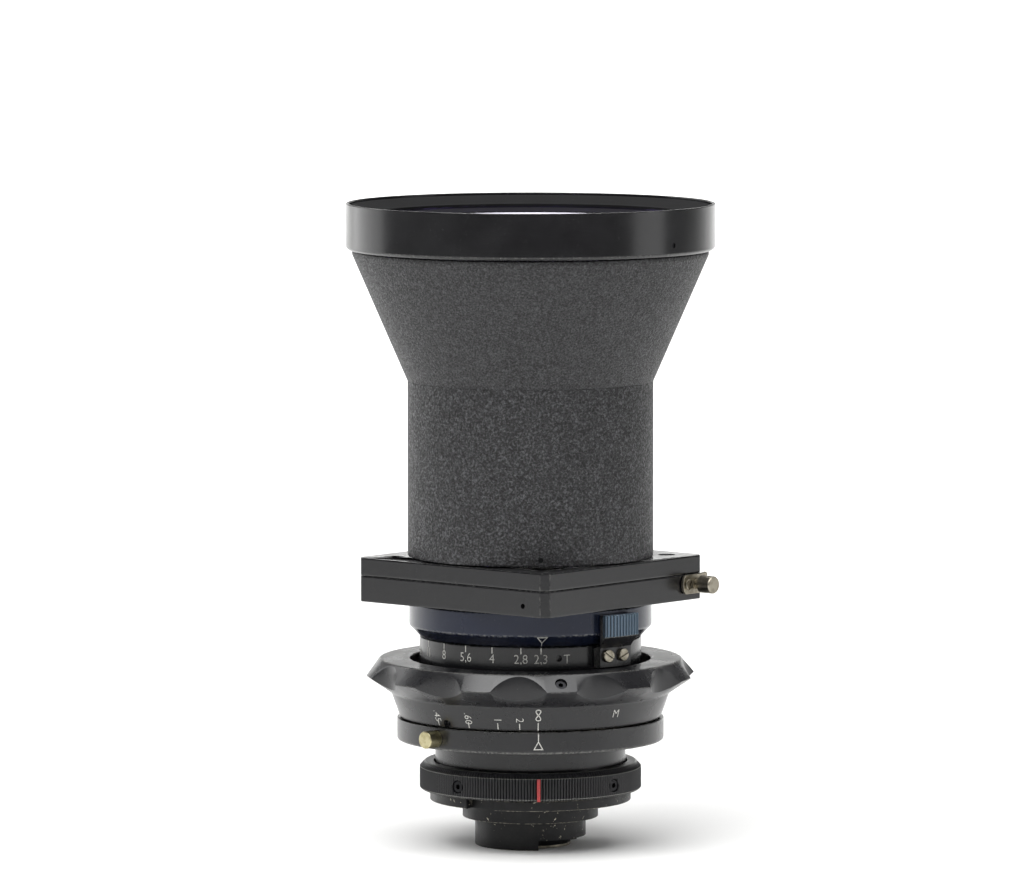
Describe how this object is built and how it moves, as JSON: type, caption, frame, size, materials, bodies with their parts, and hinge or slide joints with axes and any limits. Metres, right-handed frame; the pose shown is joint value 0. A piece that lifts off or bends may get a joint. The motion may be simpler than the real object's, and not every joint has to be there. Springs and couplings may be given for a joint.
{
  "type": "cine camera lens",
  "caption": "Wide-angle cine camera lens on a rear bayonet, with a front bell, a square filter box, scalloped focus ring and iris ring.",
  "frame": {"origin": "on the lens axis, in the plane that the rear end stands on", "axes": "+Z along the lens axis towards the front glass, -Y towards the side with the index marks"},
  "size_m": [0.1073, 0.1062, 0.1855],
  "materials": {
    "black_anodised": "black anodised, satin",
    "gloss_black": "gloss black enamel",
    "blue_black": "blue-black anodised, glossy",
    "crinkle_enamel": "black crinkle enamel",
    "blue_grey_tab": "blue-grey anodised, serrated",
    "nickel": "nickel plated, satin",
    "brass_pin": "pale brass, turned",
    "blackened_steel": "blackened steel",
    "matt_black_inside": "matt black",
    "optical_glass": "coated optical glass"
  },
  "bodies": {
    "root": {"rear_tube": "black_anodised", "rear_light_shield": "nickel", "bayonet_plate": "black_anodised", "grip_ring": "black_anodised", "grip_screw_1": "blackened_steel", "grip_screw_2": "blackened_steel", "grip_screw_3": "blackened_steel", "grip_screw_4": "blackened_steel", "mount_neck": "black_anodised", "helicoid_flange": "black_anodised", "outer_helicoid": "nickel", "index_ring": "black_anodised", "locating_pin": "brass_pin", "focus_guide_key": "blackened_steel"},
    "focus_ring": {"focus_ring": "black_anodised", "focus_set_screw": "blackened_steel"},
    "optical_block": {"inner_helicoid": "nickel", "rear_cell": "matt_black_inside", "rear_element": "optical_glass", "rear_spacer": "matt_black_inside", "rear_inner_element": "optical_glass", "lens_housing": "blue_black", "iris_plate": "blackened_steel", "iris_cover": "blackened_steel", "box_body": "gloss_black", "box_cover": "gloss_black", "cover_screw_1": "blackened_steel", "cover_screw_2": "blackened_steel", "cover_screw_3": "blackened_steel", "cover_screw_4": "blackened_steel", "latch_screw": "nickel", "barrel": "crinkle_enamel", "barrel_screw": "blackened_steel", "middle_cell": "matt_black_inside", "middle_element": "optical_glass", "front_bell": "crinkle_enamel", "front_ring": "gloss_black", "front_screw": "blackened_steel", "name_ring": "gloss_black", "front_element": "optical_glass", "second_cell": "matt_black_inside", "second_element": "optical_glass"},
    "aperture_ring": {"aperture_ring": "gloss_black", "aperture_tab": "blue_grey_tab", "tab_screw_1": "nickel", "tab_screw_2": "nickel", "iris_drive_ring": "blackened_steel", "iris_drive_pin": "blackened_steel"},
    "filter_drawer": {"filter_drawer": "black_anodised", "drawer_filter": "optical_glass"},
    "latch": {"latch_plate": "nickel", "latch_knob": "nickel"},
    "iris_blade_1": {"iris_blade_1": "blackened_steel"},
    "iris_blade_2": {"iris_blade_2": "blackened_steel"},
    "iris_blade_3": {"iris_blade_3": "blackened_steel"},
    "iris_blade_4": {"iris_blade_4": "blackened_steel"},
    "iris_blade_5": {"iris_blade_5": "blackened_steel"},
    "iris_blade_6": {"iris_blade_6": "blackened_steel"},
    "iris_blade_7": {"iris_blade_7": "blackened_steel"},
    "iris_blade_8": {"iris_blade_8": "blackened_steel"}
  },
  "joints": [
    {"name": "focus_turn", "type": "hinge", "parent": "root", "child": "focus_ring", "pos_m": [0, 0, 0.045], "axis": [0, 0, 1], "range_deg": [0, 50]},
    {"name": "focus_travel", "type": "slide", "parent": "root", "child": "optical_block", "axis": [0, 0, 1], "range_m": [0, 0.000208]},
    {"name": "aperture_turn", "type": "hinge", "parent": "optical_block", "child": "aperture_ring", "pos_m": [0, 0, 0.055], "axis": [0, 0, 1], "range_deg": [0, 86.4]},
    {"name": "drawer_slide", "type": "slide", "parent": "optical_block", "child": "filter_drawer", "axis": [0.7071, 0.7071, 0], "range_m": [0, 0.06]},
    {"name": "latch_swing", "type": "hinge", "parent": "optical_block", "child": "latch", "pos_m": [0.04426, -0.00622, 0.0756], "axis": [0.7071, -0.7071, 0], "range_deg": [0, 60]},
    {"name": "iris_blade_1_swing", "type": "hinge", "parent": "optical_block", "child": "iris_blade_1", "pos_m": [0, -0.021, 0.06], "axis": [0, 0, 1], "range_deg": [0, 42]},
    {"name": "iris_blade_2_swing", "type": "hinge", "parent": "optical_block", "child": "iris_blade_2", "pos_m": [0.01485, -0.01485, 0.0604], "axis": [0, 0, 1], "range_deg": [0, 42]},
    {"name": "iris_blade_3_swing", "type": "hinge", "parent": "optical_block", "child": "iris_blade_3", "pos_m": [0.021, 0, 0.0608], "axis": [0, 0, 1], "range_deg": [0, 42]},
    {"name": "iris_blade_4_swing", "type": "hinge", "parent": "optical_block", "child": "iris_blade_4", "pos_m": [0.01485, 0.01485, 0.0612], "axis": [0, 0, 1], "range_deg": [0, 42]},
    {"name": "iris_blade_5_swing", "type": "hinge", "parent": "optical_block", "child": "iris_blade_5", "pos_m": [0, 0.021, 0.0616], "axis": [0, 0, 1], "range_deg": [0, 42]},
    {"name": "iris_blade_6_swing", "type": "hinge", "parent": "optical_block", "child": "iris_blade_6", "pos_m": [-0.01485, 0.01485, 0.062], "axis": [0, 0, 1], "range_deg": [0, 42]},
    {"name": "iris_blade_7_swing", "type": "hinge", "parent": "optical_block", "child": "iris_blade_7", "pos_m": [-0.021, 0, 0.0624], "axis": [0, 0, 1], "range_deg": [0, 42]},
    {"name": "iris_blade_8_swing", "type": "hinge", "parent": "optical_block", "child": "iris_blade_8", "pos_m": [-0.01485, -0.01485, 0.0628], "axis": [0, 0, 1], "range_deg": [0, 42]}
  ],
  "couplings": [
    {"joint": "focus_turn", "follows": "focus_travel", "rad_per_m": 4188.8},
    {"joint": "iris_blade_1_swing", "follows": "aperture_turn", "ratio": 0.48},
    {"joint": "iris_blade_2_swing", "follows": "aperture_turn", "ratio": 0.48},
    {"joint": "iris_blade_3_swing", "follows": "aperture_turn", "ratio": 0.48},
    {"joint": "iris_blade_4_swing", "follows": "aperture_turn", "ratio": 0.48},
    {"joint": "iris_blade_5_swing", "follows": "aperture_turn", "ratio": 0.48},
    {"joint": "iris_blade_6_swing", "follows": "aperture_turn", "ratio": 0.48},
    {"joint": "iris_blade_7_swing", "follows": "aperture_turn", "ratio": 0.48},
    {"joint": "iris_blade_8_swing", "follows": "aperture_turn", "ratio": 0.48}
  ]
}
